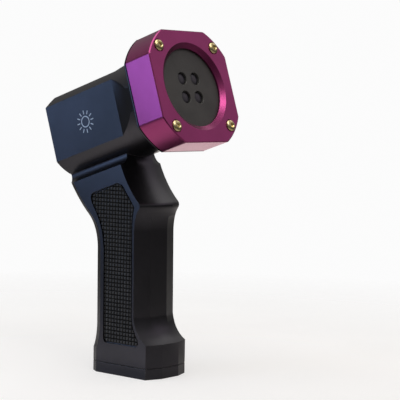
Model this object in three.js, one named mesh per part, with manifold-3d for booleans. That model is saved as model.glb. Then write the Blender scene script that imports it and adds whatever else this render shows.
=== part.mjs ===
// Handheld ultraviolet inspection lamp with a pistol grip.
//
// Millimetres, +Z up. The lamp stands on the foot of its grip, whose centre is the origin. The beam
// leaves the head towards -Y, tilted up by BEAM_PITCH. Left and right are mirror images across X = 0.
// Pieces of the head and barrel are built in the head's own frame: its +Z is the beam, its +Y is the
// top of the barrel, and its z = 0 is the front face of the bezel.

import * as THREE from 'three';
import { mergeVertices } from 'three/addons/utils/BufferGeometryUtils.js';
import Module from 'manifold-3d';

const wasm = await Module();
wasm.setup();

// ---------------------------------------------------------------- driving dimensions

const BEAM_PITCH = THREE.MathUtils.degToRad(17.9);
const FACE_Y = -44.1;
const FACE_Z = 191.3;

const GAP = 0.3;
const BEYOND = 1;

const HEAD_FLAT = 37.5;
const HEAD_RADIUS = 42.8;
const BEZEL_DEPTH = 21.5;
const FLANGE_DEPTH = 4.8;
const SCREW_OFFSET = 26.5;

const BARREL_RADIUS = 31.25;
const BARREL_FLAT = 24.75;
const BARREL_END = -111.9;
const FLAT_START = -47.7;
const RAMP_LENGTH = 18.5;
const BORE_RADIUS = 21.5;
const BORE_END = BARREL_END + 5.4;

const GRIP_HALF_WIDTH = 19.5;
const FRONT_FLAT_HALF = 8.1;
const FRONT_CHAMFER = 4.3;
const BACK_FLAT_HALF = 15.9;
const BACK_CHAMFER = 6.1;
const CAP_HEIGHT = 7.1;
const PAD_RECESS = 1.6;

const BATTERY_Y = 4.15;
const BATTERY_BORE = 13.8;
const BATTERY_BORE_TOP = 104;
const WIRE_WAY_Y = 10;

const SWITCH_UP = -11;
const SWITCH_THREAD = 9.3;
const SOCKET_UP = 12;
const SOCKET_THREAD = 4.5;

const SEAL_WIDTH = 2;
const SEAL_HEIGHT = 1.1;
const HEAD_SEAL_INNER = 29.5;
const FOOT_SEAL_INNER = 14.9;

const LED_LEAD = [1.25, 6];
const LED_LEAD_HOLE = 1.5;

const FINE = 48;
const ROUND = 28;
const SMALL = 18;
const TINY = 12;

// ---------------------------------------------------------------- materials

const metal = (color, roughness) => new THREE.MeshStandardMaterial({ color, roughness, metalness: 1 });
const plastic = (color, roughness) => new THREE.MeshStandardMaterial({ color, roughness, metalness: 0 });

const BLACK_ANODISED = metal(0x1b1c22, 0.42);
const PURPLE_ANODISED = metal(0x742f62, 0.35);
const PLATE_BLACK = metal(0x3c3837, 0.55);
const BRASS = metal(0xb99a5a, 0.3);
const STEEL = metal(0xc9cbd0, 0.25);
const BARE_ALUMINIUM = metal(0xb4b6b8, 0.4);
const PAD_RUBBER = plastic(0x262628, 0.75);
const SEAL_RUBBER = plastic(0x141414, 0.8);
const LENS_GLASS = plastic(0x201c30, 0.1);
const RING_LIGHT = plastic(0x9fb0c8, 0.4);
const BOARD_GREEN = plastic(0x1f5a38, 0.5);
const CHIP_BLACK = plastic(0x18181a, 0.5);
const NYLON = plastic(0xd8d4c8, 0.6);
const CELL_WRAP = plastic(0x2f6fa8, 0.45);
const LEAD_JACKET = plastic(0x2a2a2c, 0.6);

// ---------------------------------------------------------------- solids

/** Six times the signed volume: positive when the faces point out. */
function signedVolume(geometry) {
  const position = geometry.attributes.position;
  const index = geometry.index;
  const corner = [new THREE.Vector3(), new THREE.Vector3(), new THREE.Vector3()];
  let sum = 0;
  for (let i = 0; i < index.count; i += 3) {
    corner.forEach((vertex, k) => vertex.fromBufferAttribute(position, index.getX(i + k)));
    sum += corner[0].dot(corner[1].cross(corner[2]));
  }
  return sum;
}

/** The geometry as positions only, with shared vertices merged and its faces pointing out. */
function closed(geometry) {
  geometry.deleteAttribute('normal');
  geometry.deleteAttribute('uv');
  const merged = mergeVertices(geometry, 1e-4);
  const kept = [];
  const index = merged.index.array;
  for (let i = 0; i < index.length; i += 3) {
    const [a, b, c] = index.slice(i, i + 3);
    if (a !== b && b !== c && c !== a) kept.push(a, b, c);
  }
  merged.setIndex(kept);
  if (signedVolume(merged) < 0) merged.setIndex(kept.reverse());
  return merged;
}

function toManifold(geometry) {
  const merged = closed(geometry);
  return new wasm.Manifold(new wasm.Mesh({
    numProp: 3,
    vertProperties: new Float32Array(merged.attributes.position.array),
    triVerts: new Uint32Array(merged.index.array),
  }));
}

function toGeometry(manifold) {
  const mesh = manifold.getMesh();
  const geometry = new THREE.BufferGeometry();
  geometry.setAttribute('position', new THREE.BufferAttribute(mesh.vertProperties, 3));
  geometry.setIndex(new THREE.BufferAttribute(mesh.triVerts, 1));
  return geometry;
}

function cut(body, ...tools) {
  return tools.reduce((rest, tool) => rest.subtract(toManifold(tool)), body);
}

/** A solid of revolution about +Z from [radius, z] points. */
function turned(profile, segments = ROUND) {
  const points = profile.map(([radius, z]) => new THREE.Vector2(radius, z));
  return closed(new THREE.LatheGeometry(points, segments).rotateX(Math.PI / 2));
}

/** A plain disc or rod along +Z, from z = bottom to z = top. */
function rod(radius, bottom, top, segments = ROUND) {
  return turned([[0, bottom], [radius, bottom], [radius, top], [0, top]], segments);
}

/** A flat ring or tube along +Z, from z = bottom to z = top. */
function ring(inner, outer, bottom, top, segments = ROUND) {
  return turned([[inner, bottom], [outer, bottom], [outer, top], [inner, top], [inner, bottom]], segments);
}

/** A six-sided plug along Z, centred on the origin, for cutting a screw's drive. */
function hexSocket(radius, length) {
  return new THREE.CylinderGeometry(radius, radius, length, 6).rotateX(Math.PI / 2);
}

function block(width, depth, height, x = 0, y = 0, z = 0) {
  return new THREE.BoxGeometry(width, depth, height).translate(x, y, z);
}

/** A lead or a wound spring: a round section of the given radius swept along a curve. */
function swept(curve, radius, steps, sides = 8) {
  const section = new THREE.Shape().absarc(0, 0, radius, 0, 2 * Math.PI, false);
  const options = { steps, extrudePath: curve, curveSegments: sides / 2, bevelEnabled: false };
  return closed(new THREE.ExtrudeGeometry(section, options));
}

class Helix extends THREE.Curve {
  constructor(radius, bottom, top, turns) {
    super();
    Object.assign(this, { radius, bottom, top, turns });
  }

  getPoint(t, target = new THREE.Vector3()) {
    const angle = 2 * Math.PI * this.turns * t;
    const z = THREE.MathUtils.lerp(this.bottom, this.top, t);
    return target.set(this.radius * Math.cos(angle), this.radius * Math.sin(angle), z);
  }
}

// ---------------------------------------------------------------- scene graph

const lamp = new THREE.Group();
const head = new THREE.Group();
head.position.set(0, FACE_Y, FACE_Z);
head.rotation.x = Math.PI / 2 - BEAM_PITCH;
lamp.add(head);
head.updateMatrix();

function addPiece(group, name, geometry, material, x = 0, y = 0, z = 0) {
  const mesh = new THREE.Mesh(geometry, material);
  mesh.name = name;
  mesh.position.set(x, y, z);
  group.add(mesh);
  return mesh;
}

const inHead = (geometry) => geometry.applyMatrix4(head.matrix);

// ---------------------------------------------------------------- outlines

/** A circle with four milled flats: corner arcs joined by straight sides. */
function roundWithFlats(radius, flat) {
  const shape = new THREE.Shape();
  const reach = Math.acos(flat / radius);
  for (let corner = 0; corner < 4; corner += 1) {
    const start = (corner * Math.PI) / 2 + reach;
    shape.absarc(0, 0, radius, start, start + Math.PI / 2 - 2 * reach, false);
  }
  shape.closePath();
  return shape;
}

/** The grip's side plane as (y, z): foot, waist, finger hook, finger recess, back sweep. */
function gripSide() {
  const side = new THREE.Shape();
  side.moveTo(-22.3, -8);
  side.lineTo(-22.3, 22.6);
  side.quadraticCurveTo(-12.6, 28, -11, 40);
  side.lineTo(-10.4, 96);
  side.quadraticCurveTo(-10.8, 106, -14.2, 110.4);
  side.quadraticCurveTo(-16, 113, -13.9, 115.1);
  side.quadraticCurveTo(-2, 126.5, 4.8, 145);
  side.lineTo(6, 154);
  side.lineTo(59, 142);
  side.lineTo(49.4, 131.7);
  side.quadraticCurveTo(40.5, 116, 28.5, 105);
  side.quadraticCurveTo(20.4, 97.5, 19.6, 84);
  side.lineTo(19.2, 32);
  side.quadraticCurveTo(19.6, 21.5, 22.3, 16);
  side.lineTo(22.3, -8);
  return side;
}

/** The inlay's outline on the side plane, inset from the pocket's edge. */
function padOutline(inset) {
  const pad = new THREE.Shape();
  pad.moveTo(-12.6 + inset, 20.6 + inset);
  pad.lineTo(13.6 - inset, 20.6 + inset);
  pad.quadraticCurveTo(16.2 - inset, 20.6 + inset, 16.2 - inset, 24.5);
  pad.lineTo(16.6 - inset, 82);
  pad.quadraticCurveTo(17.6 - inset, 97, 24 - inset, 106.2);
  pad.lineTo(28.6 - inset, 113.4);
  pad.quadraticCurveTo(30.6 - inset, 118 - inset, 27 - inset, 119.7 - inset);
  pad.lineTo(5.4 + inset, 127 - inset);
  pad.quadraticCurveTo(1.6 + inset, 128 - inset, -0.6 + inset, 124.6 - inset);
  pad.lineTo(-10.4 + inset, 112.2);
  pad.quadraticCurveTo(-8.8 + inset, 106, -8.8 + inset, 98);
  pad.lineTo(-9.4 + inset, 40);
  pad.quadraticCurveTo(-10 + inset, 32, -15 + inset, 25.4);
  pad.quadraticCurveTo(-16.4 + inset, 20.6 + inset, -12.6 + inset, 20.6 + inset);
  return pad;
}

/** Turns an extrusion of a (y, z) outline so that it runs along +X from x = 0. */
const ALONG_X = new THREE.Matrix4().makeBasis(
  new THREE.Vector3(0, 1, 0),
  new THREE.Vector3(0, 0, 1),
  new THREE.Vector3(1, 0, 0),
);

function acrossX(shape, options) {
  return new THREE.ExtrudeGeometry(shape, options).applyMatrix4(ALONG_X);
}

// ---------------------------------------------------------------- grip, barrel and housing

/** True for the grip's front edge, false for its back edge, which sweeps rearward towards the barrel. */
function onFront(y, z) {
  const sweepStart = 100;
  return y < 4 + 0.35 * Math.max(0, z - sweepStart);
}

/** The whole grip: its side outline, brought forward and back between the long corner chamfers. */
function gripBlock() {
  const sides = [-1, -1, 1, 1];
  const last = sides.length - 1;
  const options = { depth: last, steps: last, curveSegments: 10, bevelEnabled: false };
  const geometry = acrossX(gripSide(), options);
  const position = geometry.attributes.position;
  for (let i = 0; i < position.count; i += 1) {
    const layer = Math.round(position.getX(i));
    const side = sides[layer];
    const y = position.getY(i);
    if (layer === 0 || layer === last) {
      position.setX(i, side * GRIP_HALF_WIDTH);
    } else if (onFront(y, position.getZ(i))) {
      position.setX(i, side * FRONT_FLAT_HALF);
      position.setY(i, y - FRONT_CHAMFER);
    } else {
      position.setX(i, side * BACK_FLAT_HALF);
      position.setY(i, y + BACK_CHAMFER);
    }
  }
  return toManifold(geometry);
}

/** What lies below the given height, for splitting the foot from the housing. */
function below(height) {
  const size = 200;
  return block(size, size, size, 0, 0, height - size / 2);
}

/** One barrel flat with its ramped front end, cutting at x = +BARREL_FLAT. */
function flatCutter() {
  const rise = BARREL_RADIUS - BARREL_FLAT;
  const beyond = 2 * rise;
  const width = 80;
  const shape = new THREE.Shape();
  shape.moveTo(BARREL_FLAT, BARREL_END - 5);
  shape.lineTo(BARREL_FLAT + beyond, BARREL_END - 5);
  shape.lineTo(BARREL_FLAT + beyond, FLAT_START + (RAMP_LENGTH * beyond) / rise);
  shape.lineTo(BARREL_FLAT, FLAT_START);
  const geometry = new THREE.ExtrudeGeometry(shape, { depth: width, bevelEnabled: false });
  return geometry.translate(0, 0, -width / 2).rotateX(Math.PI / 2);
}

/** The bevel along the barrel's rear top edge. */
function rearTopCutter() {
  const width = 80;
  const low = 18.7;
  const length = 5;
  const beyond = 3;
  const slope = (BARREL_FLAT - low) / length;
  const shape = new THREE.Shape();
  shape.moveTo(low - slope * beyond, BARREL_END - beyond);
  shape.lineTo(low + slope * beyond * length, BARREL_END + beyond * length);
  shape.lineTo(low + slope * beyond * length, BARREL_END - beyond);
  return acrossX(shape, { depth: width, bevelEnabled: false }).translate(-width / 2, 0, 0);
}

/** The flange behind the bezel: the bezel's outline, bevelled on its rear edge. */
function flange() {
  const bevel = FLANGE_DEPTH - 0.5;
  const front = -BEZEL_DEPTH - GAP;
  const plate = new THREE.ExtrudeGeometry(roundWithFlats(HEAD_RADIUS, HEAD_FLAT), {
    depth: FLANGE_DEPTH - bevel,
    curveSegments: 8,
    bevelThickness: bevel,
    bevelSize: bevel,
    bevelOffset: -bevel,
    bevelSegments: 1,
  }).translate(0, 0, front - FLANGE_DEPTH + bevel);
  return cut(toManifold(plate), block(100, 100, 20, 0, 0, front + 10));
}

function barrel() {
  return cut(
    toManifold(rod(BARREL_RADIUS, BARREL_END, -BEZEL_DEPTH - 2, FINE)),
    flatCutter(),
    flatCutter().rotateZ(Math.PI / 2),
    flatCutter().rotateZ(Math.PI),
    rearTopCutter(),
  );
}

/** The round cove that narrows the grip into a neck where it meets the barrel's underside. */
function cove(side) {
  const radius = 6;
  const length = 140;
  const up = -29;
  return rod(radius, -length, 0, ROUND).translate(side * GRIP_HALF_WIDTH, up, 0);
}

function padPocket(side) {
  const geometry = acrossX(padOutline(0), { depth: PAD_RECESS * 2, curveSegments: 4, bevelEnabled: false });
  return geometry.translate(side * GRIP_HALF_WIDTH - PAD_RECESS, 0, 0);
}

const cornerSigns = [[1, 1], [-1, 1], [1, -1], [-1, -1]];
const footScrews = [[13, -15], [-13, -15], [13, 17.5], [-13, 17.5]];

function sealGroove(inner, bottom, top) {
  return ring(inner - GAP, inner + SEAL_WIDTH + GAP, bottom, top);
}

function faceSeal(inner, bottom) {
  return ring(inner, inner + SEAL_WIDTH, bottom, bottom + SEAL_HEIGHT);
}

/** Cuts in the barrel: the bore, the switch and socket openings, the seal groove and the screw holes. */
function headCuts() {
  const front = -BEZEL_DEPTH - GAP;
  const nutRoom = 12.8;
  const nutRoomDepth = 16;
  const screwHole = 2.3;
  const screwHoleEnd = -25;
  const wall = [BARREL_END - BEYOND, BORE_END + BEYOND];
  const behind = 40;
  return [
    rod(BORE_RADIUS, BORE_END, 0),
    rod(nutRoom, BORE_END, BORE_END + nutRoomDepth).translate(0, SWITCH_UP, 0),
    rod(SWITCH_THREAD + GAP, ...wall).translate(0, SWITCH_UP, 0),
    rod(SOCKET_THREAD + GAP, ...wall, SMALL).translate(0, SOCKET_UP, 0),
    sealGroove(HEAD_SEAL_INNER, front - SEAL_HEIGHT - GAP, front + BEYOND),
    block(120, 120, behind, 0, 0, BARREL_END - behind / 2),
    ...cornerSigns.map(([x, y]) => (
      rod(screwHole, screwHoleEnd, 0, TINY).translate(x * SCREW_OFFSET, y * SCREW_OFFSET, 0)
    )),
  ].map(inHead);
}

/** Cuts in the grip: the foot's split, the battery bore, the wire way, the screw holes and the pockets. */
function gripCuts() {
  const bottom = CAP_HEIGHT + GAP;
  const wireWay = 5;
  const wireWayTop = 156;
  const screwHole = 2;
  const screwHoleTop = 20;
  return [
    below(bottom),
    rod(BATTERY_BORE, 0, BATTERY_BORE_TOP).translate(0, BATTERY_Y, 0),
    rod(wireWay, BATTERY_BORE_TOP - BEYOND, wireWayTop, SMALL).translate(0, WIRE_WAY_Y, 0),
    sealGroove(FOOT_SEAL_INNER, bottom - BEYOND, bottom + SEAL_HEIGHT + GAP).translate(0, BATTERY_Y, 0),
    ...footScrews.map(([x, y]) => rod(screwHole, 0, screwHoleTop, TINY).translate(x, y, 0)),
    padPocket(-1),
    padPocket(1),
  ];
}

function housing() {
  const grip = cut(gripBlock(), inHead(cove(-1)), inHead(cove(1)));
  const skin = toManifold(inHead(toGeometry(barrel().add(flange())))).add(grip);
  return toGeometry(cut(skin, ...headCuts(), ...gripCuts()));
}

function addHousing() {
  addPiece(lamp, 'housing', housing(), BLACK_ANODISED);
  for (const [side, name] of [[-1, 'grip_pad_left'], [1, 'grip_pad_right']]) {
    const thickness = PAD_RECESS - GAP;
    const pad = acrossX(padOutline(0.9), { depth: thickness, curveSegments: 4, bevelEnabled: false });
    const inner = side * (GRIP_HALF_WIDTH - PAD_RECESS + GAP);
    addPiece(lamp, name, closed(pad), PAD_RUBBER, side > 0 ? inner : inner - thickness);
  }
}

// ---------------------------------------------------------------- foot

function addFoot() {
  const headRadius = 3.9;
  const shank = 1.7;
  const sink = 2.4;
  const screwTop = 18;
  const screwHoles = footScrews.map(([x, y]) => turned([
    [0, -1],
    [headRadius + GAP + 1, -1],
    [shank + GAP, sink],
    [shank + GAP, CAP_HEIGHT + 1],
    [0, CAP_HEIGHT + 1],
  ], TINY).translate(x, y, 0));
  const upper = block(200, 200, 200, 0, 0, CAP_HEIGHT + 100);
  const cap = cut(gripBlock(), below(0), upper, ...screwHoles);
  addPiece(lamp, 'base_cap', toGeometry(cap), BLACK_ANODISED);
  addPiece(lamp, 'base_seal', faceSeal(FOOT_SEAL_INNER, CAP_HEIGHT + GAP), SEAL_RUBBER, 0, BATTERY_Y);
  footScrews.forEach(([x, y], i) => {
    const screw = turned([
      [0, GAP],
      [headRadius, GAP],
      [shank, sink],
      [shank, screwTop],
      [0, screwTop],
    ], TINY);
    const drive = hexSocket(1.3, 2.4);
    addPiece(lamp, `base_screw_${i + 1}`, toGeometry(cut(toManifold(screw), drive)), STEEL, x, y);
  });
}

// ---------------------------------------------------------------- battery

function addBattery() {
  const springBottom = CAP_HEIGHT + 1.4;
  const cellBottom = 17;
  const cellHeight = 65.5;
  const cellRadius = 13.1;
  const cellTop = cellBottom + cellHeight;
  const cell = turned([
    [0, 0],
    [cellRadius, 0],
    [cellRadius, cellHeight - 1.5],
    [cellRadius - 1, cellHeight - 0.5],
    [4, cellHeight - 0.5],
    [4, cellHeight],
    [0, cellHeight],
  ]);
  addPiece(lamp, 'battery_cell', cell, CELL_WRAP, 0, BATTERY_Y, cellBottom);
  addPiece(lamp, 'battery_spring_plate', rod(12, CAP_HEIGHT + GAP, CAP_HEIGHT + 1.1), BRASS, 0, BATTERY_Y);
  const wire = 0.6;
  const coil = new Helix(8, springBottom + wire, cellBottom - GAP - wire, 3);
  addPiece(lamp, 'battery_spring', swept(coil, wire, 36, 6), STEEL, 0, BATTERY_Y);
  const contact = turned([
    [0, 0],
    [13.2, 0],
    [13.2, 2],
    [3, 2],
    [3, 4],
    [0, 4],
  ], SMALL);
  addPiece(lamp, 'battery_top_contact', contact, BRASS, 0, BATTERY_Y, cellTop + GAP);
}

// ---------------------------------------------------------------- head

function bezel() {
  const edge = 0.6;
  const body = new THREE.ExtrudeGeometry(roundWithFlats(HEAD_RADIUS, HEAD_FLAT), {
    depth: BEZEL_DEPTH - 2 * edge,
    curveSegments: 10,
    bevelThickness: edge,
    bevelSize: edge,
    bevelOffset: -edge,
    bevelSegments: 1,
  }).translate(0, 0, edge - BEZEL_DEPTH);
  const bore = turned([
    [0, 1],
    [30.73, 1],
    [26.2, -2.4],
    [26.2, -3.6],
    [28.2, -3.6],
    [28.2, -BEZEL_DEPTH - 1],
    [0, -BEZEL_DEPTH - 1],
  ], FINE);
  const holes = cornerSigns.flatMap(([x, y]) => [
    rod(2.3, -BEZEL_DEPTH - 1, 1, TINY).translate(x * SCREW_OFFSET, y * SCREW_OFFSET, 0),
    rod(4.3, -0.8, 1, SMALL).translate(x * SCREW_OFFSET, y * SCREW_OFFSET, 0),
  ]);
  return toGeometry(cut(toManifold(body), bore, ...holes));
}

/** A button-head screw whose head rests at z = 0 and whose shank points to -Z. */
function buttonScrew() {
  const headRadius = 3.8;
  const headHeight = 2.3;
  const shank = 2;
  const dome = [];
  const steps = 3;
  for (let i = 0; i <= steps; i += 1) {
    const angle = (i / steps) * (Math.PI / 2);
    dome.push([headRadius * Math.cos(angle * 0.82), 0.5 + (headHeight - 0.5) * Math.sin(angle)]);
  }
  const screw = turned([
    [0, -24],
    [shank, -24],
    [shank, 0],
    [headRadius, 0],
    ...dome,
    [0, headHeight],
  ], SMALL);
  const drive = hexSocket(1.45, 2.6).translate(0, 0, headHeight);
  return toGeometry(cut(toManifold(screw), drive));
}

function addHead() {
  addPiece(head, 'bezel', bezel(), PURPLE_ANODISED);
  cornerSigns.forEach(([x, y], i) => {
    const name = `bezel_screw_${i + 1}`;
    addPiece(head, name, buttonScrew(), BRASS, x * SCREW_OFFSET, y * SCREW_OFFSET, -0.8 + GAP);
  });
  addPiece(head, 'head_seal', faceSeal(HEAD_SEAL_INNER, -BEZEL_DEPTH - GAP - SEAL_HEIGHT), SEAL_RUBBER);
}

const ledPlaces = [[6.2, 6.2], [-6.2, 6.2], [6.2, -6.2], [-6.2, -6.2]];

function addLightEngine() {
  const lensRadius = 3.8;
  const holes = ledPlaces.map(([x, y]) => turned([
    [0, -9],
    [lensRadius + GAP, -9],
    [lensRadius + GAP, -4.2],
    [lensRadius + GAP + 1, -3.2],
    [0, -3.2],
  ], SMALL).translate(x, y, 0));
  const plate = cut(toManifold(rod(27.9, -7.9, -3.9, FINE)), ...holes);
  addPiece(head, 'aperture_plate', toGeometry(plate), PLATE_BLACK);
  ledPlaces.forEach(([x, y], i) => {
    addPiece(head, `led_lens_${i + 1}`, rod(lensRadius, -7.4, -4.9, SMALL), LENS_GLASS, x, y);
    addPiece(head, `uv_led_${i + 1}`, block(3.5, 3.5, 2.1, 0, 0, -9.25), NYLON, x, y);
  });
  addPiece(head, 'plate_spacer', ring(24.7, 27.5, -12.3, -8.2), BARE_ALUMINIUM);
  const leadHole = rod(LED_LEAD_HOLE, -14, -9, TINY).translate(...LED_LEAD, 0);
  addPiece(head, 'led_board', toGeometry(cut(toManifold(rod(24.2, -12.3, -10.6)), leadHole)), BOARD_GREEN);
  addPiece(head, 'heat_sink', heatSink(), BARE_ALUMINIUM);
}

/** Round spreader, a grooved spigot in the barrel, and a shelf behind it for the driver board. */
function heatSink() {
  const front = -12.6;
  const rim = -BEZEL_DEPTH;
  const spigot = BORE_RADIUS - 0.6;
  const core = 15;
  const back = -46;
  const pitch = 7;
  const profile = [[0, front], [27.5, front], [27.5, rim], [spigot, rim]];
  for (let z = rim - 4; z > back + pitch; z -= pitch) {
    profile.push([spigot, z], [core, z], [core, z - pitch / 2], [spigot, z - pitch / 2]);
  }
  profile.push([spigot, back], [0, back]);
  const shelf = block(28, 3.4, 40, 0, -8.2, back - 18);
  const leadHole = rod(LED_LEAD_HOLE, back - BEYOND, front + BEYOND, TINY).translate(...LED_LEAD, 0);
  return toGeometry(cut(toManifold(turned(profile)).add(toManifold(shelf)), leadHole));
}

function addDriver() {
  const top = -6.2 + 1.6;
  addPiece(head, 'driver_board', block(30, 1.6, 36, 0, -5.4, -66), BOARD_GREEN);
  const upright = (radius, height) => rod(radius, 0, height, SMALL).rotateX(-Math.PI / 2);
  addPiece(head, 'driver_inductor', upright(5.5, 6), CHIP_BLACK, -6, top + GAP, -57);
  addPiece(head, 'driver_capacitor', upright(4, 10), CELL_WRAP, 7, top + GAP, -57);
  addPiece(head, 'driver_chip', block(8, 1.5, 8, 0, 0.75), CHIP_BLACK, -6, top + GAP, -70);
  addPiece(head, 'power_connector', block(10, 6, 8, 0, 3), NYLON, 7, top + GAP, -72);
}

// ---------------------------------------------------------------- rear controls

/** A group on the barrel's rear face, its +Z pointing back out of the wall. */
function rearGroup(up) {
  const group = new THREE.Group();
  group.position.set(0, up, BARREL_END);
  group.rotation.y = Math.PI;
  head.add(group);
  return group;
}

function hexNut(across, height, holeRadius) {
  const nut = new THREE.CylinderGeometry(across, across, height, 6).rotateX(Math.PI / 2);
  return toGeometry(cut(toManifold(nut), rod(holeRadius, -height, height, SMALL)));
}

/**
 * Push-button: a fixed body in the rear wall, and a cap with its plunger that travels into it.
 * The spring has its pressed length, so that the cap can travel down to it.
 */
function addSwitch() {
  const group = rearGroup(SWITCH_UP);
  const inner = 8.55;
  const flangeRadius = 11;
  const depth = -22;
  const capBottom = -2;
  const travel = 2;
  const body = turned([
    [inner, depth],
    [SWITCH_THREAD, depth],
    [SWITCH_THREAD, 1.1],
    [flangeRadius, 1.1],
    [flangeRadius, 2.2],
    [flangeRadius - 0.7, 2.9],
    [inner, 2.9],
    [inner, depth],
  ]);
  addPiece(group, 'switch_body', body, STEEL);
  addPiece(group, 'switch_seal', ring(SWITCH_THREAD + GAP, 10.7, GAP, 0.8), SEAL_RUBBER);
  addPiece(group, 'switch_light_ring', ring(7.5, inner - GAP, -3, 2.7), RING_LIGHT);
  const cap = turned([[0, capBottom], [7.2, capBottom], [7.2, 3], [6.8, 3.4], [0, 3.4]]);
  addPiece(group, 'switch_cap', cap, STEEL);
  addPiece(group, 'switch_plunger', rod(2.2, -15, capBottom - GAP, SMALL), CHIP_BLACK);
  addPiece(group, 'switch_core', ring(2.6, inner - GAP, depth, -9.5), CHIP_BLACK);
  const wire = 0.45;
  const coil = new Helix(4.2, -9.2 + wire, capBottom - travel - GAP - wire, 3);
  addPiece(group, 'switch_spring', swept(coil, wire, 40, 6), STEEL);
  addPiece(group, 'switch_nut', hexNut(12, 3, SWITCH_THREAD + GAP), STEEL, 0, 0, -7.3);
}

function addSocket() {
  const group = rearGroup(SOCKET_UP);
  const inner = 3.9;
  const depth = -14;
  const shell = turned([
    [inner, depth],
    [SOCKET_THREAD, depth],
    [SOCKET_THREAD, 1.1],
    [6, 1.1],
    [6, 3.2],
    [5.5, 3.8],
    [4.3, 3.8],
    [inner, 3.4],
    [inner, depth],
  ]);
  addPiece(group, 'socket_shell', shell, STEEL);
  addPiece(group, 'socket_seal', ring(SOCKET_THREAD + GAP, 5.8, GAP, 0.8, SMALL), SEAL_RUBBER);
  addPiece(group, 'socket_insert', rod(inner - GAP, depth, 2, SMALL), BRASS);
  addPiece(group, 'socket_nut', hexNut(6.4, 2.4, SOCKET_THREAD + GAP), STEEL, 0, 0, -7);
}

// ---------------------------------------------------------------- leads

/** A lead through the given points of the head's frame. */
function addLead(name, radius, points) {
  const curve = new THREE.CatmullRomCurve3(points.map((point) => new THREE.Vector3(...point)));
  const stepLength = 3.5;
  const steps = Math.ceil(curve.getLength() / stepLength);
  addPiece(head, name, swept(curve, radius, steps), LEAD_JACKET);
}

function addLeads() {
  addLead('led_lead', 1, [
    [...LED_LEAD, -11.5],
    [...LED_LEAD, -30],
    [...LED_LEAD, -48],
    [1.25, 3, -56],
    [1.25, -2.6, -62],
  ]);
  addLead('battery_lead', 1.2, [
    [0, -67, -78.5],
    [0, -45, -71.4],
    [0, -24, -64.6],
    [0, -15, -68],
    [0, -13.5, -78],
    [1.5, -11.5, -86],
    [4, -6, -87.4],
    [6, -1, -84.5],
    [7, -1.4, -76.6],
  ]);
  addLead('switch_lead', 1, [
    [-5, -11, -89.2],
    [-5, -10.6, -87.6],
    [-5.5, -6, -86.3],
    [-6, -1, -82.5],
    [-6, -2.6, -76.5],
  ]);
  addLead('socket_lead', 1, [
    [0, 12, -97.5],
    [0, 12, -91],
    [0.5, 4, -84],
    [0.5, -2.6, -78],
  ]);
}

addHousing();
addFoot();
addBattery();
addHead();
addLightEngine();
addDriver();
addSwitch();
addSocket();
addLeads();

export default lamp;
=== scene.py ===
import math

import bmesh
import bpy
from mathutils import Matrix, Vector


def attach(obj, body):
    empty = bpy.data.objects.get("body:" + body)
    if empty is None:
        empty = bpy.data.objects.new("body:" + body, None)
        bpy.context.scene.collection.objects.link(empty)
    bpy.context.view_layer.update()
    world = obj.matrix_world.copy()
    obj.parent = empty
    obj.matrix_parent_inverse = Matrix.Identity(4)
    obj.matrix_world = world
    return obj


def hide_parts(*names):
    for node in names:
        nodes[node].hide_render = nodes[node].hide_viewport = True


# Looks of the handheld ultraviolet inspection lamp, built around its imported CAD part.
# Pieces are modelled in millimetres and scaled to metres when they are placed. The head's own frame has
# +Z along the beam, +Y to the top of the barrel and z = 0 on the bezel's front face, as in the CAD.

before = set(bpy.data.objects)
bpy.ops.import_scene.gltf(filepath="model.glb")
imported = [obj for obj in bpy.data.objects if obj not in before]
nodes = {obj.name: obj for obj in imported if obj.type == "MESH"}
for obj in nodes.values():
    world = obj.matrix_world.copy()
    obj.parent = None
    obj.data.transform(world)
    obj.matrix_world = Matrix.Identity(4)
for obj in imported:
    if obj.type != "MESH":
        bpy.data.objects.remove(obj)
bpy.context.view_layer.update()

# ---------------------------------------------------------------- dimensions shared with the CAD, mm

MM = 0.001
BEAM_PITCH = math.radians(17.9)
FACE_Y = -44.1
FACE_Z = 191.3
GAP = 0.3

HEAD_FLAT = 37.5
HEAD_RADIUS = 42.8
BEZEL_DEPTH = 21.5
SCREW_OFFSET = 26.5
SCREW_SEAT = -0.8
BARREL_FLAT = 24.75
BARREL_END = -111.9
BORE_RADIUS = 21.5

GRIP_HALF_WIDTH = 19.5
PAD_RECESS = 1.6
CAP_HEIGHT = 7.1
BATTERY_Y = 4.15

SWITCH_UP = -11
SWITCH_THREAD = 9.3
SOCKET_UP = 12
SOCKET_THREAD = 4.5
LED_OFFSET = 6.2

CORNERS = [(1, 1), (-1, 1), (1, -1), (-1, -1)]
FOOT_SCREWS = [(13, -15), (-13, -15), (13, 17.5), (-13, 17.5)]

# The chequering of the pads. A groove is a V whose two slopes are this wide.
CHEQUER_PITCH = 2.65
GROOVE_SLOPE = 0.75
PAD_RELIEF = 0.9

# The sun mark on the barrel's side flats: its centre in the head's frame and its outer radius.
MARK_CENTRE = (0, -0.6, -78)
MARK_RADIUS = 7.6

# How many sides a large and a small round have.
ROUND = 96
SMALL = 48

# The two frames that pieces are placed in: the head's own, and the row's, which the grip is drawn in.
HEAD = Matrix.Translation((0, FACE_Y, FACE_Z)) @ Matrix.Rotation(math.pi / 2 - BEAM_PITCH, 4, "X")
ROW = Matrix.Identity(4)


def shifted(matrix, x, y, z):
    return matrix @ Matrix.Translation((x, y, z))


def on_rear(up):
    """A place on the barrel's rear face, its +Z pointing back out of the wall."""
    return shifted(HEAD, 0, up, BARREL_END) @ Matrix.Rotation(math.pi, 4, "Y")


# ---------------------------------------------------------------- camera


CAMERA_PLACE = (-720.65, -661.11, 183.62)
CAMERA_ANGLES = (49.69, -3.95, 1.01)
CAMERA_LENS = 132.8


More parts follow.
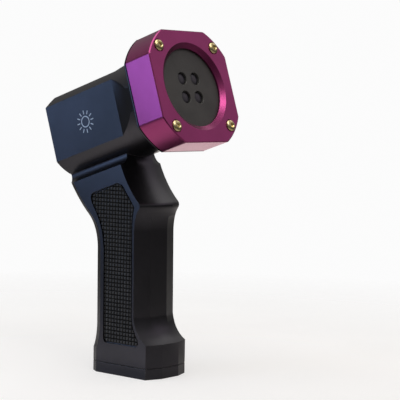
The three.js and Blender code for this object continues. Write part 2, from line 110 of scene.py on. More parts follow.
def add_camera():
    """The photo's camera, as fitted to the lamp's outline: a place in mm, then yaw, pitch and roll."""
    data = bpy.data.cameras.new("camera")
    data.sensor_width = 36
    data.lens = CAMERA_LENS
    data.clip_start = 0.05
    data.clip_end = 20
    camera = bpy.data.objects.new("camera", data)
    bpy.context.scene.collection.objects.link(camera)
    yaw, pitch, roll = (math.radians(angle) for angle in CAMERA_ANGLES)
    aim = Matrix.Rotation(-yaw, 4, "Z") @ Matrix.Rotation(math.pi / 2 + pitch, 4, "X")
    turn = aim @ Matrix.Rotation(roll, 4, "Z")
    camera.matrix_world = Matrix.Translation(Vector(CAMERA_PLACE) * MM) @ turn
    bpy.context.scene.camera = camera


add_camera()

# ---------------------------------------------------------------- node helpers for the materials

FINISH = "_finish"


class Nodes:
    """A material's node tree, with one short call per kind of node."""

    def __init__(self, slot, **settings):
        self.material = bpy.data.materials.new(slot + FINISH)
        self.material.use_nodes = True
        self.tree = self.material.node_tree
        self.shader = self.tree.nodes["Principled BSDF"]
        for socket, value in settings.items():
            self.shader.inputs[socket.replace("_", " ")].default_value = value
        self.place = self.add("ShaderNodeTexCoord").outputs["Object"]

    def add(self, kind, **values):
        node = self.tree.nodes.new(kind)
        for key, value in values.items():
            setattr(node, key, value)
        return node

    def link(self, source, target):
        self.tree.links.new(source, target)

    def value(self, source, socket):
        """Puts a number, a vector or another node's output into a socket."""
        if isinstance(source, bpy.types.NodeSocket):
            self.link(source, socket)
        else:
            socket.default_value = source

    def stretched(self, scale, turn):
        """The object's coordinates, turned and stretched, for a noise that has a direction."""
        node = self.add("ShaderNodeMapping")
        self.link(self.place, node.inputs["Vector"])
        node.inputs["Scale"].default_value = scale
        node.inputs["Rotation"].default_value = turn
        return node.outputs["Vector"]

    def noise(self, scale, detail=3, roughness=0.5, vector=None):
        """Noise over the object, about one patch in 1 / scale metres."""
        node = self.add("ShaderNodeTexNoise")
        self.link(vector or self.place, node.inputs["Vector"])
        node.inputs["Scale"].default_value = scale
        node.inputs["Detail"].default_value = detail
        node.inputs["Roughness"].default_value = roughness
        return node.outputs["Fac"]

    def math(self, operation, *values):
        node = self.add("ShaderNodeMath", operation=operation)
        for socket, value in zip(node.inputs, values):
            self.value(value, socket)
        return node.outputs[0]

    def between(self, factor, low, high, from_low=0.0, from_high=1.0):
        """The factor stretched from one range to another, held inside it."""
        node = self.add("ShaderNodeMapRange")
        self.value(factor, node.inputs["Value"])
        ends = {"From Min": from_low, "From Max": from_high, "To Min": low, "To Max": high}
        for key, value in ends.items():
            self.value(value, node.inputs[key])
        return node.outputs[0]

    def mix(self, factor, first, second):
        """The first colour where the factor is 0 and the second where it is 1."""
        node = self.add("ShaderNodeMix", data_type="RGBA")
        self.value(factor, node.inputs[0])
        for socket, colour in ((node.inputs[6], first), (node.inputs[7], second)):
            self.value(colour if isinstance(colour, bpy.types.NodeSocket) else (*colour, 1), socket)
        return node.outputs[2]

    def bump(self, height, depth, under=None):
        """Relief of the given depth in metres, on top of another bump."""
        node = self.add("ShaderNodeBump")
        node.inputs["Strength"].default_value = 1
        node.inputs["Distance"].default_value = depth
        self.link(height, node.inputs["Height"])
        if under:
            self.link(under, node.inputs["Normal"])
        return node.outputs["Normal"]

    def wear(self):
        """1 on the rounded edges that the bevels made, fading in and out along them."""
        edge = self.add("ShaderNodeAttribute", attribute_name="edge").outputs["Fac"]
        patches = self.between(self.noise(180, 4, 0.65), 0, 1, 0.45, 0.7)
        return self.math("MULTIPLY", edge, patches)

    def finish(self, colour=None, roughness=None, normal=None, **more):
        """Links what is given into the shader and hands the material over."""
        for key, source in (("Base Color", colour), ("Roughness", roughness), ("Normal", normal)):
            if source is not None:
                self.link(source, self.shader.inputs[key])
        for key, source in more.items():
            self.link(source, self.shader.inputs[key.replace("_", " ")])
        return self.material


# How deep the relief of a blasted surface and of a softer one is, in metres.
GRAIN_DEPTH = 0.000012
SOFT_DEPTH = 0.00001


def blasted(made, blast):
    """The relief of a blasted surface: its fine grain under a softer ripple."""
    grain = made.bump(blast, GRAIN_DEPTH)
    return made.bump(made.noise(700, 3, 0.5), SOFT_DEPTH, grain)


def smeared(made, scale, blast, low, high):
    """A roughness that handling has left uneven, with the grain of the blasting in it."""
    smears = made.noise(scale, 5, 0.7, made.stretched((1, 1, 0.35), (0.4, 0.2, 0)))
    return made.math("ADD", made.between(smears, low, high), made.between(blast, -0.03, 0.03))


def anodised(name, dark, light, bare, rough):
    """Blasted and anodised aluminium: fine grain, soft cloudiness and edges rubbed lighter."""
    made = Nodes(name, Metallic=1.0, Coat_Weight=0.35, Coat_Roughness=0.3)
    clouds = made.noise(28, 4, 0.6)
    blast = made.noise(5200, 2, 0.6)
    colour = made.mix(made.between(clouds, 0, 1, 0.35, 0.65), dark, light)
    colour = made.mix(made.between(made.wear(), 0, 0.55), colour, bare)
    roughness = smeared(made, 90, blast, rough - 0.05, rough + 0.05)
    return made.finish(colour, roughness, blasted(made, blast))


def turned_metal(name, dark, light, rough):
    """Machined metal: hair-fine tool lines and slight tarnish."""
    made = Nodes(name, Metallic=1.0)
    tarnish = made.noise(260, 4, 0.6)
    lines = made.noise(900, 2, 0.5, made.stretched((1, 1, 9), (0.3, 0.1, 0)))
    colour = made.mix(made.between(tarnish, 0, 1, 0.35, 0.7), dark, light)
    dulled = made.between(tarnish, rough + 0.08, rough - 0.05)
    roughness = made.math("ADD", dulled, made.between(lines, -0.04, 0.06))
    return made.finish(colour, roughness, made.bump(lines, 0.000006))


def moulded(name, dark, light, rough, grain_depth=SOFT_DEPTH, **settings):
    """Moulded plastic or rubber with a spark-eroded skin and dusty lighter patches."""
    made = Nodes(name, **settings)
    dust = made.noise(120, 5, 0.7)
    skin = made.noise(2600, 2, 0.6)
    colour = made.mix(made.between(dust, 0, 1, 0.35, 0.7), dark, light)
    roughness = made.between(made.math("ADD", dust, skin), rough - 0.08, rough + 0.08, 0.6, 1.4)
    return made.finish(colour, roughness, made.bump(skin, grain_depth))


# ---------------------------------------------------------------- materials


def pad_finish():
    """Chequered rubber, with painted shade down in its grooves: darker and duller there."""
    made = Nodes("pad_rubber")
    parts = made.add("ShaderNodeSeparateXYZ")
    made.link(made.place, parts.inputs[0])
    depth = made.math("ABSOLUTE", parts.outputs["X"])
    bottom = GRIP_HALF_WIDTH - PAD_RELIEF
    top = made.between(depth, 0, 1, bottom * MM, GRIP_HALF_WIDTH * MM)
    clouds = made.noise(60, 4, 0.6)
    grain = made.noise(2600, 3, 0.6)
    colour = made.mix(made.between(clouds, 0, 1, 0.3, 0.7), (0.024, 0.023, 0.023), (0.042, 0.041, 0.042))
    # Painted shade: down in the grooves the colour is darker and the specular level lower, for the shade
    # that falls there.
    colour = made.mix(top, (0.009, 0.009, 0.009), colour)
    gleam = made.math("MULTIPLY", top, 0.5)
    roughness = made.between(grain, 0.48, 0.62)
    return made.finish(colour, roughness, made.bump(grain, SOFT_DEPTH), Specular_IOR_Level=gleam)


def housing_finish():
    """Black anodising with a laser-marked sun on each side flat of the barrel."""
    made = Nodes("black_anodised", Metallic=1.0, Coat_Weight=0.3, Coat_Roughness=0.3)
    clouds = made.noise(24, 4, 0.6)
    blast = made.noise(5200, 2, 0.6)
    cloudy = made.between(clouds, 0, 1, 0.35, 0.65)
    colour = made.mix(cloudy, (0.046, 0.044, 0.051), (0.057, 0.054, 0.064))
    colour = made.mix(made.between(made.wear(), 0, 0.4), colour, (0.3, 0.29, 0.28))
    mark = sun_mark(made)
    colour = made.mix(mark, colour, (0.62, 0.62, 0.62))
    roughness = smeared(made, 80, blast, 0.29, 0.38)
    roughness = made.math("MAXIMUM", roughness, made.math("MULTIPLY", mark, 0.6))
    return made.finish(colour, roughness, blasted(made, blast))


def sun_mark(made):
    """A plain sun pictogram: 1 on its ring and its rays, on the two side flats only."""
    shift = made.add("ShaderNodeVectorMath", operation="SUBTRACT")
    made.link(made.place, shift.inputs[0])
    shift.inputs[1].default_value = (HEAD @ Vector(MARK_CENTRE)) * MM
    turn = made.add("ShaderNodeVectorRotate", rotation_type="X_AXIS")
    made.link(shift.outputs[0], turn.inputs["Vector"])
    turn.inputs["Angle"].default_value = BEAM_PITCH
    parts = made.add("ShaderNodeSeparateXYZ")
    made.link(turn.outputs[0], parts.inputs[0])
    along, up = parts.outputs["Y"], parts.outputs["Z"]
    radius = made.math("SQRT", made.math("ADD", made.math("POWER", along, 2), made.math("POWER", up, 2)))
    half_line = 0.35 * MM
    rays = 12
    half_sector = math.pi / rays
    angle = made.math("ARCTAN2", up, along)
    folded = made.math("PINGPONG", angle, half_sector)
    across = made.math("MULTIPLY", radius, made.math("SINE", folded))
    on_ray = made.math("LESS_THAN", across, half_line)
    starts = made.math("GREATER_THAN", radius, 0.66 * MARK_RADIUS * MM)
    ends = made.math("LESS_THAN", radius, MARK_RADIUS * MM)
    ray = made.math("MULTIPLY", on_ray, made.math("MULTIPLY", starts, ends))
    ring = made.math("COMPARE", radius, 0.46 * MARK_RADIUS * MM, half_line)
    sideways = made.math("ABSOLUTE", parts.outputs["X"])
    on_flat = made.math("GREATER_THAN", sideways, (BARREL_FLAT - 0.1) * MM)
    return made.math("MULTIPLY", made.math("MAXIMUM", ray, ring), on_flat)


def plate_finish():
    """Matt black plate, turned on a lathe: faint rings about the beam under a fine grain."""
    made = Nodes("plate_black", Metallic=0.35)
    shift = made.add("ShaderNodeVectorMath", operation="SUBTRACT")
    made.link(made.place, shift.inputs[0])
    shift.inputs[1].default_value = HEAD.translation * MM
    off_axis = made.add("ShaderNodeVectorMath", operation="CROSS_PRODUCT")
    made.link(shift.outputs[0], off_axis.inputs[0])
    off_axis.inputs[1].default_value = HEAD.col[2].to_3d()
    radius = made.add("ShaderNodeVectorMath", operation="LENGTH")
    made.link(off_axis.outputs[0], radius.inputs[0])
    ring_pitch = 0.9 * MM
    phase = made.math("MULTIPLY", radius.outputs["Value"], 2 * math.pi / ring_pitch)
    grain = made.noise(3800, 2, 0.6)
    clouds = made.between(made.noise(60, 4, 0.6), 0, 1, 0.35, 0.7)
    colour = made.mix(clouds, (0.070, 0.068, 0.065), (0.092, 0.089, 0.084))
    roughness = made.between(grain, 0.5, 0.66)
    relief = made.bump(made.math("SINE", phase), 0.0000015, made.bump(grain, GRAIN_DEPTH))
    return made.finish(colour, roughness, relief)


def board_finish():
    """Green circuit board with pale tracks under the lacquer."""
    made = Nodes("board_green", Coat_Weight=0.4, Coat_Roughness=0.2)
    cells = made.add("ShaderNodeTexVoronoi", feature="DISTANCE_TO_EDGE")
    made.link(made.place, cells.inputs["Vector"])
    cells.inputs["Scale"].default_value = 260
    tracks = made.math("LESS_THAN", cells.outputs["Distance"], 0.06)
    colour = made.mix(tracks, (0.012, 0.075, 0.03), (0.03, 0.16, 0.06))
    grain = made.noise(1500, 3, 0.6)
    return made.finish(colour, made.between(grain, 0.38, 0.55), made.bump(grain, SOFT_DEPTH))


BLACK = housing_finish()
PURPLE = anodised("purple_anodised", (0.30, 0.034, 0.142), (0.35, 0.042, 0.170), (0.85, 0.40, 0.62), 0.3)
PLATE = plate_finish()
BRASS = turned_metal("brass", (0.62, 0.50, 0.24), (0.86, 0.74, 0.42), 0.24)
STEEL = turned_metal("stainless", (0.55, 0.56, 0.58), (0.80, 0.81, 0.83), 0.2)
ALUMINIUM = turned_metal("bare_aluminium", (0.55, 0.56, 0.58), (0.72, 0.73, 0.74), 0.34)
RUBBER = pad_finish()
SEAL = moulded("seal_rubber", (0.008, 0.008, 0.008), (0.02, 0.02, 0.02), 0.7)
GLASS = moulded(
    "filter_glass", (0.008, 0.007, 0.012), (0.014, 0.011, 0.020), 0.42, Coat_Weight=0.3, Coat_Roughness=0.3,
)
GLOW = moulded("ring_light", (0.36, 0.42, 0.56), (0.46, 0.52, 0.66), 0.4)
BOARD = board_finish()
PLASTIC = moulded("black_plastic", (0.012, 0.012, 0.013), (0.024, 0.024, 0.026), 0.5)
NYLON = moulded("white_nylon", (0.55, 0.52, 0.44), (0.68, 0.65, 0.56), 0.5)
WRAP = moulded("cell_wrap", (0.02, 0.12, 0.32), (0.03, 0.17, 0.4), 0.35, grain_depth=0.000004)
JACKET = moulded("lead_jacket", (0.014, 0.014, 0.015), (0.03, 0.03, 0.032), 0.5)

# ---------------------------------------------------------------- mesh helpers, all in millimetres


# Corners closer than these become one: the first everywhere, the second only in what the CAD made.
SAME_POINT = 0.01
SLIVER = 0.13


def flattened(bm, angle):
    """Merges doubled corners, and faces that lie within the angle of one plane."""
    bmesh.ops.remove_doubles(bm, verts=bm.verts, dist=SAME_POINT)
    bmesh.ops.dissolve_limit(bm, angle_limit=math.radians(angle), verts=bm.verts, edges=bm.edges)
    return bm


def from_node(name):
    """A CAD node's mesh as one clean solid, its flat faces merged and its slivers closed."""
    bm = bmesh.new()
    bm.from_mesh(nodes[name].data)
    bm.transform(Matrix.Scale(1 / MM, 4))
    flattened(bm, 0.6)
    bmesh.ops.remove_doubles(bm, verts=bm.verts, dist=SLIVER)
    return bm


def lathe(profile, segments=ROUND):
    """A solid of revolution about +Z from (radius, z) points. The profile is a closed loop, or starts and
    ends on the axis."""
    bm = bmesh.new()
    rows = []
    for radius, z in profile:
        if radius == 0:
            rows.append([bm.verts.new((0, 0, z))] * segments)
            continue
        angles = [2 * math.pi * i / segments for i in range(segments)]
        rows.append([bm.verts.new((radius * math.cos(a), radius * math.sin(a), z)) for a in angles])
    closed = profile[0][0] > 0
    pairs = list(zip(rows, rows[1:])) + ([(rows[-1], rows[0])] if closed else [])
    for low, high in pairs:
        for i in range(segments):
            k = (i + 1) % segments
            corners = list(dict.fromkeys([low[i], low[k], high[k], high[i]]))
            if len(corners) > 2:
                bm.faces.new(corners)
    bmesh.ops.recalc_face_normals(bm, faces=bm.faces)
    return bm


def corners_of(parts):
    return [part for part in parts if isinstance(part, bmesh.types.BMVert)]


def prism(points, bottom, top):
    """A closed outline of (x, y) points, extruded along +Z."""
    bm = bmesh.new()
    base = [bm.verts.new((x, y, bottom)) for x, y in points]
    face = bm.faces.new(base)
    raised = bmesh.ops.extrude_face_region(bm, geom=[face])["geom"]
    bmesh.ops.translate(bm, vec=(0, 0, top - bottom), verts=corners_of(raised))
    bmesh.ops.recalc_face_normals(bm, faces=bm.faces)
    return bm


def moved(bm, x=0, y=0, z=0):
    bmesh.ops.translate(bm, vec=(x, y, z), verts=bm.verts)
    return bm


def on_circle(radius, count):
    """Points spread evenly around a circle."""
    angles = [2 * math.pi * i / count for i in range(count)]
    return [(radius * math.cos(angle), radius * math.sin(angle)) for angle in angles]


def hexagon(radius, bottom, top):
    return prism(on_circle(radius, 6), bottom, top)


def scratch_object(bm):
    """The solid as an object of the scene, for a modifier to work on."""
    mesh = bpy.data.meshes.new("scratch")
    bm.to_mesh(mesh)
    bm.free()
    made = bpy.data.objects.new("scratch", mesh)
    bpy.context.scene.collection.objects.link(made)
    return made


def combined(bm, tools, operation="DIFFERENCE"):
    """The solid after each tool has been cut from it, or what the solid and the tools have in common."""
    target = scratch_object(bm)
    helpers = [scratch_object(tool) for tool in tools]
    for helper in helpers:
        modifier = target.modifiers.new("cut", "BOOLEAN")
        modifier.object = helper
        modifier.operation = operation
        modifier.solver = "EXACT"
    graph = bpy.context.evaluated_depsgraph_get()
    result = bmesh.new()
    result.from_object(target, graph)
    for used in [target, *helpers]:
        mesh = used.data
        bpy.data.objects.remove(used)
        bpy.data.meshes.remove(mesh)
    return flattened(result, 0.3)


def rounded(bm, width, segments=2, wanted=lambda point: True):
    """Rounds the sharp edges and marks the new faces as edge, for the wear in the materials."""
    layer = bm.faces.layers.float.new("edge")
    limit = math.radians(24)
    sharp = []
    for edge in bm.edges:
        middle = (edge.verts[0].co + edge.verts[1].co) / 2
        if len(edge.link_faces) == 2 and edge.calc_face_angle() > limit and wanted(middle):
            sharp.append(edge)
    made = bmesh.ops.bevel(
        bm, geom=sharp, offset=width, offset_type="OFFSET", segments=segments, profile=0.5,
        affect="EDGES", clamp_overlap=True,
    )
    for face in made["faces"]:
        face[layer] = 1
    return bm


def add_piece(name, bm, place, finish, stands_for, body="lamp", smooth=40):
    """Makes the object, puts it where the CAD says, and hides the node that it stands for."""
    bm.transform(Matrix.Scale(MM, 4) @ place)
    mesh = bpy.data.meshes.new(name)
    bm.to_mesh(mesh)
    bm.free()
    mesh.materials.append(finish)
    mesh.shade_smooth()
    mesh.set_sharp_from_angle(angle=math.radians(smooth))
    made = bpy.data.objects.new(name, mesh)
    bpy.context.scene.collection.objects.link(made)
    weighted = made.modifiers.new("weighted", "WEIGHTED_NORMAL")
    weighted.keep_sharp = True
    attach(made, body)
    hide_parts(stands_for)
    return made


# ---------------------------------------------------------------- housing, foot and pads


# Edges sharper than this angle stay sharp in the shading of the housing and the foot.
CREASE = 18

# A little above the foot's seam, and a little inside the rear wall's outer face.
FOOT_JOINT = CAP_HEIGHT + 0.4
REAR_WALL = BARREL_END + 0.5


def is_outer_edge(point):
    """False in the bores, in the seal grooves and behind the bezel: those edges stay as in the CAD."""
    x, up, forward = HEAD.inverted() @ point
    from_beam = math.hypot(x, up)
    from_battery = math.hypot(point.x, point.y - BATTERY_Y)
    on_rear_face = forward < REAR_WALL
    in_barrel = from_beam < BORE_RADIUS + 1 and forward > REAR_WALL
    behind_bezel = forward > -BEZEL_DEPTH - 2
    in_battery_bore = from_battery < 17.8 and FOOT_JOINT < point.z < 110
    at_foot = from_battery < 18 and point.z < FOOT_JOINT and abs(point.x) < GRIP_HALF_WIDTH - 0.3
    at_switch_hole = on_rear_face and from_beam < 22 and math.hypot(x, up - SWITCH_UP) < 10
    return not (in_barrel or behind_bezel or in_battery_bore or at_foot or at_switch_hole)


def add_housing():
    """The milled block with its edges broken, from the CAD solid."""
    bm = rounded(from_node("housing"), 0.45, segments=3, wanted=is_outer_edge)
    add_piece("housing_shell", bm, ROW, BLACK, "housing", smooth=CREASE)


def add_foot():
    """The plate that closes the grip, and its four countersunk screws, which point up."""
    cap = rounded(from_node("base_cap"), 0.35, segments=3)
    add_piece("foot_plate", cap, ROW, BLACK, "base_cap", smooth=CREASE)
    for i, (x, y) in enumerate(FOOT_SCREWS, start=1):
        screw = lathe([
            (0, GAP), (3.7, GAP), (3.9, GAP + 0.2), (1.7, 2.4), (1.7, 18), (0, 18),
        ], SMALL)
        screw = rounded(combined(screw, [hexagon(1.3, 0, 1.4)]), 0.08)
        add_piece(f"foot_screw_{i}", screw, shifted(ROW, x, y, 0), STEEL, f"base_screw_{i}")


def curve(start, control, end, steps=8):
    """The points after the start of a curve with one control point."""
    made = []
    for i in range(1, steps + 1):
        t = i / steps
        weights = ((1 - t) ** 2, 2 * t * (1 - t), t * t)
        made.append(tuple(
            weights[0] * a + weights[1] * b + weights[2] * c for a, b, c in zip(start, control, end)
        ))
    return made


def pad_outline(inset):
    """The inlay's outline on the grip's side plane as (y, z), as the CAD has it."""
    a = inset
    points = [(-12.6 + a, 20.6 + a), (13.6 - a, 20.6 + a)]
    for control, end, straight in [
        ((16.2 - a, 20.6 + a), (16.2 - a, 24.5), (16.6 - a, 82)),
        ((17.6 - a, 97), (24 - a, 106.2), (28.6 - a, 113.4)),
        ((30.6 - a, 118 - a), (27 - a, 119.7 - a), (5.4 + a, 127 - a)),
        ((1.6 + a, 128 - a), (-0.6 + a, 124.6 - a), (-10.4 + a, 112.2)),
        ((-8.8 + a, 106), (-8.8 + a, 98), (-9.4 + a, 40)),
        ((-10 + a, 32), (-15 + a, 25.4), None),
        ((-16.4 + a, 20.6 + a), (-12.6 + a, 20.6 + a), None),
    ]:
        points += curve(points[-1], control, end)
        if straight:
            points.append(straight)
    return points[:-1]


def stud_lines(start, end):
    """Where the sheet bends between two ends: the bottom of a groove, then a stud's two edges, in turn."""
    count = int((end - start) / CHEQUER_PITCH)
    made = []
    for i in range(count):
        bottom = start + i * CHEQUER_PITCH
        made += [bottom, bottom + GROOVE_SLOPE, bottom + (CHEQUER_PITCH - GROOVE_SLOPE)]
    return made + [start + count * CHEQUER_PITCH]


def is_stud(i, j):
    """Whether two stud_lines cross on a stud: of every three, the first is the bottom of a groove."""
    return i % 3 > 0 and j % 3 > 0


def chequered_sheet(top):
    """A closed slab, chequered on top: flat-topped square studs with V grooves between them."""
    across, along = stud_lines(-20, 36), stud_lines(16, 132)
    bm = bmesh.new()
    grid = []
    for j, v in enumerate(along):
        heights = [top if is_stud(i, j) else top - PAD_RELIEF for i in range(len(across))]
        grid.append([bm.verts.new((u, v, height)) for u, height in zip(across, heights)])
    for near, far in zip(grid, grid[1:]):
        for i in range(len(across) - 1):
            bm.faces.new((near[i], near[i + 1], far[i + 1], far[i]))
    rim = [edge for edge in bm.edges if edge.is_boundary]
    skirt = bmesh.ops.extrude_edge_only(bm, edges=rim)["geom"]
    for corner in corners_of(skirt):
        corner.co.z = -2
    bmesh.ops.holes_fill(bm, edges=[edge for edge in bm.edges if edge.is_boundary], sides=0)
    bmesh.ops.recalc_face_normals(bm, faces=bm.faces)
    return bm


def chequered_pad():
    """An inlay that lies on z = 0. The sheet's studs stand a hair proud, so the blank's own top is kept."""
    thickness = PAD_RECESS - GAP
    blank = prism(pad_outline(0.9), 0, thickness)
    blank = rounded(blank, 0.3, wanted=lambda point: point.z > 1)
    return combined(blank, [chequered_sheet(thickness + 0.01)], "INTERSECT")


def add_pads():
    """Chequered rubber inlays: (y, z) on the side plane becomes (x, y) while they are modelled."""
    outward = Matrix(((0, 0, 1, 0), (1, 0, 0, 0), (0, 1, 0, 0), (0, 0, 0, 1)))
    right = shifted(ROW, GRIP_HALF_WIDTH - PAD_RECESS + GAP, 0, 0) @ outward
    left = Matrix.Scale(-1, 4, (1, 0, 0)) @ right
    for side, place in (("left", left), ("right", right)):
        pad = chequered_pad()
        if side == "left":
            bmesh.ops.reverse_faces(pad, faces=pad.faces)
        add_piece(f"grip_inlay_{side}", pad, place, RUBBER, f"grip_pad_{side}", smooth=20)


# ---------------------------------------------------------------- head


def round_with_flats(radius, flat, steps=16):
    """A circle with four milled flats, as points."""
    reach = math.acos(flat / radius)
    sweep = math.pi / 2 - 2 * reach
    starts = [corner * math.pi / 2 + reach for corner in range(4)]
    angles = [start + sweep * i / steps for start in starts for i in range(steps + 1)]
    return [(radius * math.cos(a), radius * math.sin(a)) for a in angles]


def add_bezel():
    """The front ring, chamfered outside and bored through. Only its front edges are rounded and worn."""
    body = rounded(prism(round_with_flats(HEAD_RADIUS, HEAD_FLAT), -BEZEL_DEPTH, 0), 0.6, segments=1)
    body.faces.layers.float.remove(body.faces.layers.float["edge"])
    rear = -BEZEL_DEPTH - 1
    bore = lathe([
        (0, 1), (30.73, 1), (26.2, -2.4), (26.2, -3.6), (28.2, -3.6), (28.2, rear), (0, rear),
    ], 2 * ROUND)
    tools = [bore]
    for x, y in CORNERS:
        through = lathe([
            (0, rear), (2.3, rear), (2.3, SCREW_SEAT), (4.3, SCREW_SEAT), (4.3, 1), (0, 1),
        ], SMALL)
        tools.append(moved(through, x * SCREW_OFFSET, y * SCREW_OFFSET))
    bezel = rounded(combined(body, tools), 0.22, wanted=lambda point: point.z > -3)
    add_piece("bezel_ring", bezel, HEAD, PURPLE, "bezel")


def add_bezel_screws():
    """Button-head screws, each with a hexagon socket and a chamfered mouth."""
    radius, height, rim = 3.8, 2.3, 0.5
    quarter = [math.pi / 2 * i / 10 for i in range(11)]
    dome = [(radius * math.cos(a * 0.82), rim + (height - rim) * math.sin(a)) for a in quarter]
    low, high = height - 0.55, height + 0.15
    for i, (x, y) in enumerate(CORNERS, start=1):
        screw = lathe([(0, -24), (2, -24), (2, 0), (radius - 0.15, 0), *dome, (0, height)], SMALL)
        mouth = lathe([(0, low), (1.3, low), (2.0, high), (0, high)], SMALL)
        screw = combined(screw, [moved(hexagon(1.45, -1.3, 1), z=height), mouth])
        place = shifted(HEAD, x * SCREW_OFFSET, y * SCREW_OFFSET, SCREW_SEAT + GAP)
        place = place @ Matrix.Rotation(0.35 * i, 4, "Z")
        add_piece(f"bezel_bolt_{i}", rounded(screw, 0.06), place, BRASS, f"bezel_screw_{i}", smooth=30)


def add_aperture_plate():
    """The dark plate and the four filter lenses that stand in its chamfered windows."""
    plate = lathe([(0, -7.9), (27.9, -7.9), (27.9, -3.9), (0, -3.9)], 2 * ROUND)
    tools = []
    for x, y in CORNERS:
        hole = lathe([(0, -9), (4.1, -9), (4.1, -4.2), (5.1, -3.2), (0, -3.2)], SMALL)
        tools.append(moved(hole, x * LED_OFFSET, y * LED_OFFSET))
    plate = rounded(combined(plate, tools), 0.12)
    add_piece("aperture_disc", plate, HEAD, PLATE, "aperture_plate")
    for i, (x, y) in enumerate(CORNERS, start=1):
        lens = lathe([
            (0, -7.4), (3.6, -7.4), (3.8, -7.2), (3.8, -5.5), (3.5, -5.3), (2.6, -5.05), (1.3, -4.93),
            (0, -4.9),
        ], SMALL)
        place = shifted(HEAD, x * LED_OFFSET, y * LED_OFFSET, 0)
        add_piece(f"filter_lens_{i}", lens, place, GLASS, f"led_lens_{i}", smooth=50)


# ---------------------------------------------------------------- rear controls


def add_switch():
    """The push-button: a threaded body, the ring light inside its rim and the dished cap that moves."""
    place = on_rear(SWITCH_UP)
    inner = 8.55
    body = lathe([
        (inner, -22), (SWITCH_THREAD, -22), (SWITCH_THREAD, 1.1), (11, 1.1), (11, 2.2), (10.3, 2.9),
        (inner, 2.9),
    ])
    add_piece("button_housing", rounded(body, 0.15), place, STEEL, "switch_body")
    light = lathe([(7.5, -3), (inner - GAP, -3), (inner - GAP, 2.45), (7.9, 2.7), (7.5, 2.5)])
    add_piece("button_light", rounded(light, 0.06), place, GLOW, "switch_light_ring")
    dish = [(6.8, 3.4), (6.2, 3.35), (4, 3.16), (2, 3.06), (0, 3.02)]
    cap = lathe([(0, -2), (7.2, -2), (7.2, 3.0), *dish])
    add_piece("button_cap", rounded(cap, 0.12), place, STEEL, "switch_cap", body="button")


def add_socket():
    """The charging socket: a ring with two key slots in its rim, and an insert with six contact holes."""
    place = on_rear(SOCKET_UP)
    inner = 3.9
    shell = lathe([
        (inner, -14), (SOCKET_THREAD, -14), (SOCKET_THREAD, 1.1), (6, 1.1), (6, 3.2), (5.5, 3.8),
        (4.3, 3.8), (inner, 3.4),
    ])
    slots = []
    for turn in range(2):
        slot = prism([(3, -0.5), (4.9, -0.5), (4.9, 0.5), (3, 0.5)], 2.6, 5)
        bmesh.ops.rotate(slot, matrix=Matrix.Rotation(math.pi * (turn + 0.5), 3, "Z"), verts=slot.verts)
        slots.append(slot)
    add_piece("socket_ring", rounded(combined(shell, slots), 0.1), place, STEEL, "socket_shell")
    radius = inner - GAP
    face = lathe([(0, -14), (radius, -14), (radius, 1.8), (radius - 0.2, 2), (0, 2)], SMALL)
    holes = []
    for x, y in on_circle(2.1, 6):
        hole = lathe([(0, 0.4), (0.42, 0.4), (0.42, 3), (0, 3)], 16)
        holes.append(moved(hole, x, y))
    add_piece("socket_contacts", rounded(combined(face, holes), 0.05), place, BRASS, "socket_insert")


# ---------------------------------------------------------------- pieces kept as the CAD has them

INSIDE = {
    "head_seal": SEAL, "base_seal": SEAL, "switch_seal": SEAL, "socket_seal": SEAL,
    "plate_spacer": ALUMINIUM, "heat_sink": ALUMINIUM,
    "led_board": BOARD, "driver_board": BOARD,
    "driver_inductor": PLASTIC, "driver_chip": PLASTIC, "switch_plunger": PLASTIC, "switch_core": PLASTIC,
    "driver_capacitor": WRAP, "battery_cell": WRAP,
    "power_connector": NYLON,
    "switch_spring": STEEL, "switch_nut": STEEL, "socket_nut": STEEL, "battery_spring": STEEL,
    "battery_spring_plate": BRASS, "battery_top_contact": BRASS,
    "led_lead": JACKET, "battery_lead": JACKET, "switch_lead": JACKET, "socket_lead": JACKET,
    **{f"uv_led_{i}": NYLON for i in range(1, 5)},
}


def finish_kept_nodes():
    """Gives the pieces inside their materials."""
    for name, finish in INSIDE.items():
        for slot in nodes[name].material_slots:
            slot.material = finish


# ---------------------------------------------------------------- light and floor


def add_panel(name, place, target, size, radiance, colour):
    """A softbox at a place in metres, facing the target. The size is its width and height."""
    width, height = size
    data = bpy.data.lights.new(name, "AREA")
    data.shape = "RECTANGLE"
    data.size = width
    data.size_y = height
    data.energy = radiance * math.pi * width * height
    data.color = colour
    panel = bpy.data.objects.new(name, data)
    bpy.context.scene.collection.objects.link(panel)
    panel.location = place
    panel.rotation_mode = "QUATERNION"
    panel.rotation_quaternion = (Vector(target) - Vector(place)).to_track_quat("-Z", "Y")
    return panel


def add_floor():
    """A pale disc that fades out into the pale surroundings. It glows to the eye, and far less in the
    lamp's metal."""
    reach, fade_start = 0.6, 0.16
    bm = bmesh.new()
    bmesh.ops.create_circle(bm, cap_ends=True, radius=reach, segments=ROUND)
    mesh = bpy.data.meshes.new("floor")
    bm.to_mesh(mesh)
    bm.free()
    made = Nodes("pale_floor", Roughness=0.7, Emission_Color=(1, 1, 1, 1))
    shade = made.between(made.noise(9, 3), 0.0, 1.0, 0.3, 0.7)
    colour = made.mix(shade, (0.42, 0.40, 0.38), (0.46, 0.44, 0.42))
    seen = made.add("ShaderNodeLightPath").outputs["Is Camera Ray"]
    glow = made.between(seen, 0.04, 0.56)
    distance = made.add("ShaderNodeVectorMath", operation="LENGTH")
    made.link(made.place, distance.inputs[0])
    fade = made.between(distance.outputs["Value"], 1, 0, fade_start, reach - 0.02)
    mesh.materials.append(made.finish(colour, Emission_Strength=glow, Alpha=fade))
    floor = bpy.data.objects.new("floor", mesh)
    bpy.context.scene.collection.objects.link(floor)


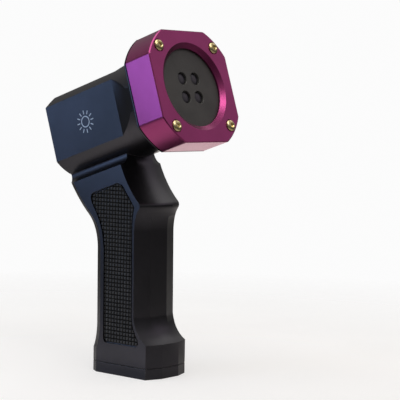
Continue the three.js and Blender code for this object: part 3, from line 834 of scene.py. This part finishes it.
def add_surroundings():
    """Pale to the eye. What the lamp's metal mirrors is dim at eye level, brighter overhead and a little
    less dim below."""
    world = bpy.data.worlds.new("surroundings")
    bpy.context.scene.world = world
    world.use_nodes = True
    tree = world.node_tree
    shine = tree.nodes["Background"]
    seen = tree.nodes.new("ShaderNodeBackground")
    seen.inputs["Color"].default_value = (0.97, 0.97, 0.97, 1)
    direction = tree.nodes.new("ShaderNodeTexCoord")
    parts = tree.nodes.new("ShaderNodeSeparateXYZ")
    ramp = tree.nodes.new("ShaderNodeValToRGB")
    height = tree.nodes.new("ShaderNodeMapRange")
    height.inputs["From Min"].default_value = -1
    tree.links.new(direction.outputs["Generated"], parts.inputs[0])
    tree.links.new(parts.outputs["Z"], height.inputs["Value"])
    tree.links.new(height.outputs[0], ramp.inputs[0])
    tree.links.new(ramp.outputs["Color"], shine.inputs["Color"])
    # Along the ramp, 0 is straight down, 0.5 is level and 1 is straight up.
    dim, bright = ramp.color_ramp.elements
    dim.position, dim.color = 0.5, (0.058, 0.058, 0.056, 1)
    bright.position, bright.color = 0.9, (0.4, 0.395, 0.385, 1)
    below = ramp.color_ramp.elements.new(0.2)
    below.color = (0.15, 0.145, 0.14, 1)
    path = tree.nodes.new("ShaderNodeLightPath")
    choose = tree.nodes.new("ShaderNodeMixShader")
    tree.links.new(path.outputs["Is Camera Ray"], choose.inputs[0])
    tree.links.new(shine.outputs[0], choose.inputs[1])
    tree.links.new(seen.outputs[0], choose.inputs[2])
    tree.links.new(choose.outputs[0], tree.nodes["World Output"].inputs["Surface"])


def add_glow(name, x, y, side, radiance):
    """A square of floor that shines upwards. The eye doesn't see it."""
    glow = add_panel(name, (x, y, 0.003), (x, y, 1), (side, side), radiance, (1.0, 0.91, 0.84))
    glow.visible_camera = False


def add_lights():
    """Softboxes above, in front and on the right, a blue one behind on the left, and light off the floor."""
    middle = (0, 0, 0.13)
    barrel = (0, 0, 0.17)
    bezel = (0, -0.05, 0.19)
    add_panel("top_panel", (-0.15, 0.1, 0.95), middle, (0.8, 0.8), 2.0, (1.0, 0.98, 0.95))
    add_panel("cool_panel", (-0.62, 0.38, 0.26), barrel, (0.42, 0.3), 3.3, (0.38, 0.60, 1.0))
    add_panel("front_panel", (-0.24, -0.54, 0.92), bezel, (0.36, 0.36), 4.2, (1.0, 0.96, 0.94))
    add_panel("right_panel", (0.7, -0.1, 0.78), bezel, (0.4, 0.4), 0.7, (1.0, 0.97, 0.94))
    add_panel("face_panel", (0.75, -0.55, 0.62), bezel, (0.5, 0.5), 0.36, (1.0, 0.8, 1.0))
    add_glow("far_glow", 0.33, 0.22, 0.3, 1.0)
    add_glow("near_glow", -0.1, 0.04, 0.12, 0.4)
    add_panel("rim_panel", (0.85, 0.2, 0.2), middle, (0.3, 0.6), 0.15, (1.0, 0.95, 0.88))


add_housing()
add_foot()
add_pads()
add_bezel()
add_bezel_screws()
add_aperture_plate()
add_switch()
add_socket()
finish_kept_nodes()
add_floor()
add_surroundings()
add_lights()
bpy.context.scene.view_settings.view_transform = "Standard"
